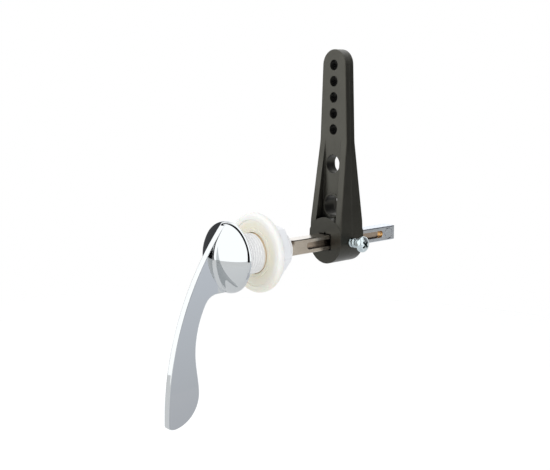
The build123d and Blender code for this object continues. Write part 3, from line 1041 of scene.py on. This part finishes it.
class LEVER_OT_screw(Piece, Operator):
    """Builds the clamp screw: dog point, coarse thread and a pan head with a cross recess"""

    bl_idname = "lever.screw"
    bl_label = "Clamp screw"
    part = "screw"

    def build(self, s):
        dog_length, run_in, seat_edge, thread_rows = 2.3 * MM, 1.6 * MM, 0.25 * MM, 220
        edge = s.seat + s.rim
        angles = round_angles(SCREW_SEGMENTS)
        stations = np.linspace(s.tip, s.seat, thread_rows)
        start = np.clip((stations - s.tip - dog_length) / run_in, 0, 1)[:, None]
        radii = s.dog_radius + (thread_radius(stations, angles, s) - s.dog_radius) * start
        skin = Skin()
        skin.grid(*tube_surface(stations, angles, radii), closed=True)
        skin.turned(rounded_path([(0, s.tip, 0), (s.dog_radius, s.tip, 0)]), SCREW_SEGMENTS)
        skin.turned(rounded_path([(s.head_radius, edge, 0), (s.head_radius, s.seat, seat_edge),
                                  (s.dog_radius, s.seat, 0)]), HEAD_SEGMENTS)
        skin.grid(*screw_crown(s, edge), closed=True)
        skin.points = [(y, s.station + x, z) for x, y, z in skin.points]
        skin.normals = [(y, x, z) for x, y, z in skin.normals]
        settle(skin.make("cross_screw", plated_finish(s)), "screw", "clamp_screw")


# Studio

PICTURE_WIDTH = 550
SENSOR_WIDTH = 36.0
CAMERA_TARGET = (0, 0.02808, 0.00715)
ARCH_RADIUS = 0.16
BESIDE = 0.15
FAR_SIDE = -0.3
TABLE_RISE = 3 * MM


def emptied(owner):
    """Weave of a material or world whose nodes are cleared away."""
    owner.use_nodes = True
    owner.node_tree.nodes.clear()
    return Weave(owner.node_tree)


def softbox(name, place, size, glow, tint, in_gloss=False):
    """Soft lamp of a width and height in metres whose lit face has an even glow, pointed at the lever."""
    lamp = bpy.data.lights.new(name, "AREA")
    lamp.shape = "RECTANGLE"
    lamp.size, lamp.size_y = size
    lamp.energy = glow * math.pi * size[0] * size[1]
    lamp.color = tint
    holder = linked(name, lamp)
    holder.location = place
    holder.rotation_euler = (Vector() - Vector(place)).to_track_quat("-Z", "Y").to_euler()
    holder.visible_glossy = in_gloss


def studio_card(name, points, columns, material):
    """Card or cloth over rows of points that only gloss shows; the camera and the soft light pass it by."""
    faces = [(i + j, i + j + 1, i + columns + j + 1, i + columns + j)
             for i in range(0, len(points) - columns, columns) for j in range(columns - 1)]
    card = linked_mesh(name, points, faces, material)
    card.visible_camera = False
    card.visible_diffuse = False
    card.visible_shadow = False
    card.visible_transmission = False


def card_paint(name, tone, far_tone=None, axis="Z", strength=1.0):
    """Even paint of a studio card, or one that goes to another tone along an axis."""
    material = bpy.data.materials.new(name)
    w = emptied(material)
    paint = rgba(tone)
    if far_tone:
        place = w.split(w.node("TexCoord")["Generated"])
        paint = w.mix(place[axis], paint, rgba(far_tone))
    glow = w.node("Emission", {"Color": paint, "Strength": strength})
    w.node("OutputMaterial", {"Surface": glow[0]})
    return material


def direction(azimuth, elevation):
    """Unit vector to a place in the studio, azimuth from the handle's side and elevation in degrees."""
    a, e = math.radians(azimuth), math.radians(elevation)
    return Vector((math.sin(a) * math.cos(e), -math.cos(a) * math.cos(e), math.sin(e)))


def upright_card(name, azimuths, elevations, reach, material):
    """Card that fills a window of the studio as the lever sees it."""
    studio_card(name, [direction(a, e) * reach for e in elevations for a in azimuths], 2, material)


def side_card(name, x, stations, heights, material):
    """Card that stands beside the lever, parallel to the spindle."""
    studio_card(name, [(x, y, z) for z in heights for y in stations], 2, material)


def light_tent(reach, material):
    """White cloth in front of the lever and over it; its hem is a little higher on the right."""
    low_hem, hem_rise, risen_at, crown = -10.5, 4.5, 74, 88
    azimuths = np.linspace(-100, 97, 50)
    points = []
    for t in np.linspace(0, 1, 16):
        for azimuth in azimuths:
            hem = low_hem + hem_rise * (max(0.0, azimuth) / risen_at)**2
            points.append(direction(azimuth, hem + (crown - hem) * t) * reach)
    studio_card("light_tent", points, len(azimuths), material)


def tent_hoop(reach, material):
    """Dark hoop inside the cloth, from the table on the right over the lever, thin at its left end."""
    thinning, foot_top, foot_height = 45, 22, 24
    front, foot_spread, width, near_back = -0.21, 0.15, 0.36, -0.10
    turns = np.linspace(-11, 146, 48)
    points = []
    for angle in np.radians(turns):
        fade = min(1.0, (turns[-1] - math.degrees(angle)) / thinning)
        foot = min(1.0, max(0.0, (foot_top - math.degrees(angle)) / foot_height))
        for back in (front - foot_spread * foot, width * fade + near_back):
            side = reach * math.sqrt(1 - back * back)
            points.append((side * math.cos(angle), reach * back, side * math.sin(angle)))
    studio_card("tent_hoop", points, 2, material)


def arched_card(name, turns, stations, material):
    """Card bent round the spindle's axis between two turns, counted from the screw's side upwards."""
    angles = np.radians(np.linspace(*turns, 24))
    points = [(ARCH_RADIUS * math.cos(a), y, ARCH_RADIUS * math.sin(a)) for a in angles for y in stations]
    studio_card(name, points, 2, material)


def arm_hood(material):
    """Dark flag beside the lift arm that bends over its top."""
    section = ((0.12, -0.005), (0.12, 0.10), (0.10, 0.20), (0.05, 0.30), (-0.05, 0.36))
    studio_card("arm_hood", [(x, y, z) for x, z in section for y in (0.125, 0.42)], 2, material)


def table_card(height, material):
    """Card that lies on the floor under the blade."""
    studio_card("table_card", [(x, y, height) for y in (0, 0.11) for x in (0.07, 0.15)], 2, material)


def shown_directly(w):
    """Mask of the rays that show the background itself: to the camera, in gloss and through glass."""
    path = w.node("LightPath")
    return w.math("MAXIMUM", path["Is Camera Ray"],
                  w.math("MAXIMUM", path["Is Glossy Ray"], path["Is Transmission Ray"]))


def soft_world():
    """White background for camera, gloss and glass, and an even plain light for everything else."""
    world = bpy.data.worlds.new("Studio air")
    bpy.context.scene.world = world
    w = emptied(world)
    air = w.node("Background", {"Color": (0.97, 0.98, 1.0, 1), "Strength": 0.60})
    white = w.node("Background", {"Color": (1, 1, 1, 1), "Strength": 1.0})
    both = w.node("MixShader", {0: shown_directly(w), 1: air[0], 2: white[0]})
    w.node("OutputWorld", {"Surface": both[0]})


def pale_floor(height):
    """Round pale floor that takes the lever's shadow, fades into the background and is clear from below."""
    radius, fade_start, fade_end, middle = 0.55, 0.22, 0.5, 0.04
    material = bpy.data.materials.new("Floor pale")
    w = emptied(material)
    cloth = w.node("BsdfDiffuse", {"Color": (0.93, 0.93, 0.93, 1)})
    seen = w.node("LightPath")["Is Camera Ray"]
    glow = w.math("MULTIPLY_ADD", seen, 0.15, w.times(shown_directly(w), 0.05))
    white = w.node("Emission", {"Color": (1, 1, 1, 1), "Strength": glow})
    lit = w.node("AddShader", {0: cloth[0], 1: white[0]})
    below = w.node("NewGeometry")["Backfacing"]
    gone = w.math("MAXIMUM", w.remap(w.vector("LENGTH", w.spot()), fade_start, fade_end), below)
    mixed = w.node("MixShader", {0: gone, 1: lit[0], 2: w.node("BsdfTransparent")[0]})
    w.node("OutputMaterial", {"Surface": mixed[0]})
    ring = [(radius * math.cos(a), radius * math.sin(a), 0) for a in round_angles(96)]
    floor = linked_mesh("pale_floor", ring, [tuple(range(len(ring)))], material)
    floor.location = (0, middle, height)


def studio_lamps():
    """Lamps in front, above and at the side that gloss doesn't show, and one behind that it does."""
    softbox("Front box", direction(0, 25) * 0.7, size=(3.0, 0.98), glow=0.78, tint=(1, 0.998, 0.99))
    softbox("Top box", (0.0, 0.06, 0.75), size=(1.0, 1.0), glow=0.45, tint=(0.97, 0.985, 1))
    softbox("Fill box", direction(84, 8) * 0.8, size=(0.6, 0.6), glow=0.8, tint=(0.96, 0.98, 1))
    softbox("Back box", direction(-135, 14), size=(1.3, 0.5), glow=0.5, tint=(0.90, 0.95, 1), in_gloss=True)


def studio_cards(floor_height):
    """Cloth, flags and cards for the chrome, the zinc and the plating to show."""
    black = card_paint("Flag black", (0.012, 0.012, 0.013))
    white = card_paint("Tent white", (1, 1, 1), strength=1.78)
    left = card_paint("Flag left", (0.075, 0.075, 0.08))
    grey = card_paint("Card grey", (0.72, 0.735, 0.775), (0.86, 0.89, 0.96))
    warm = card_paint("Card warm", (0.68, 0.665, 0.62))
    hood = card_paint("Hood black", (0.02, 0.02, 0.035))
    table = card_paint("Table grey", (0.68, 0.69, 0.73), (0.74, 0.75, 0.79), axis="X")
    light_tent(0.62, white)
    tent_hoop(0.56, black)
    arched_card("white_arch", (-8, 130), (0.044, 0.142), white)
    arched_card("white_arch_foot", (-50, -8), (0.116, 0.142), white)
    upright_card("left_flag", (-116, -67), (-25, 30), 0.58, left)
    side_card("blade_card", BESIDE, (0.055, 0.107), (-0.124, -0.03), grey)
    side_card("near_card", BESIDE, (0.15, 0.34), (-0.12, 0), warm)
    side_card("hub_flag", FAR_SIDE, (-0.26, -0.14), (-0.13, -0.04), black)
    arm_hood(hood)
    table_card(floor_height + TABLE_RISE, table)


def photo_camera(s):
    """Camera that sees the lever as the photograph shows it."""
    camera = bpy.data.cameras.new("Camera")
    camera.sensor_fit = "HORIZONTAL"
    camera.sensor_width = SENSOR_WIDTH
    camera.lens = s.focal_px / PICTURE_WIDTH * SENSOR_WIDTH
    camera.clip_start = 10 * MM
    holder = linked("Camera", camera)
    back = direction(math.degrees(s.azimuth), math.degrees(s.elevation))
    holder.location = Vector(CAMERA_TARGET) + back * s.distance
    holder.rotation_euler = back.to_track_quat("Z", "Y").to_euler()
    bpy.context.scene.camera = holder


class LEVER_OT_stage(Piece, Operator):
    """Sets up the white studio: floor, soft lamps, cards for the chrome and the camera"""

    bl_idname = "lever.stage"
    bl_label = "Studio"
    part = "stage"

    def build(self, s):
        soft_world()
        pale_floor(s.floor_height)
        studio_lamps()
        studio_cards(s.floor_height)
        photo_camera(s)
        bpy.context.scene.view_settings.view_transform = "Standard"


# Add-on

OPERATORS = (LEVER_OT_handle, LEVER_OT_spindle, LEVER_OT_bush, LEVER_OT_washer, LEVER_OT_nut, LEVER_OT_arm,
             LEVER_OT_screw, LEVER_OT_stage)


class LEVER_PT_panel(Panel):
    """Lists the lever's pieces and the studio"""

    bl_idname = "LEVER_PT_panel"
    bl_label = "Cistern lever"
    bl_space_type = "VIEW_3D"
    bl_region_type = "UI"
    bl_category = "Lever"

    def draw(self, context):
        for operator in OPERATORS:
            settings = getattr(context.scene.cistern_lever, operator.part)
            box = self.layout.box()
            box.operator(operator.bl_idname)
            for name in settings.__annotations__:
                box.prop(settings, name, text=name.replace("_", " ").capitalize())


SETTINGS = (HandleSettings, BushSettings, WasherSettings, NutSettings, SpindleSettings, ArmSettings,
            ScrewSettings, StageSettings, LeverSettings)
CLASSES = (*SETTINGS, *OPERATORS, LEVER_PT_panel)


def register():
    """Registers the classes and puts the settings on the scene."""
    for each in CLASSES:
        bpy.utils.register_class(each)
    bpy.types.Scene.cistern_lever = PointerProperty(type=LeverSettings)


def unregister():
    """Takes the settings and the classes away again."""
    del bpy.types.Scene.cistern_lever
    for each in reversed(CLASSES):
        bpy.utils.unregister_class(each)


def main():
    """Builds every piece and the studio."""
    register()
    for operator in OPERATORS:
        getattr(bpy.ops.lever, operator.part)()


if __name__ == "__main__":
    main()
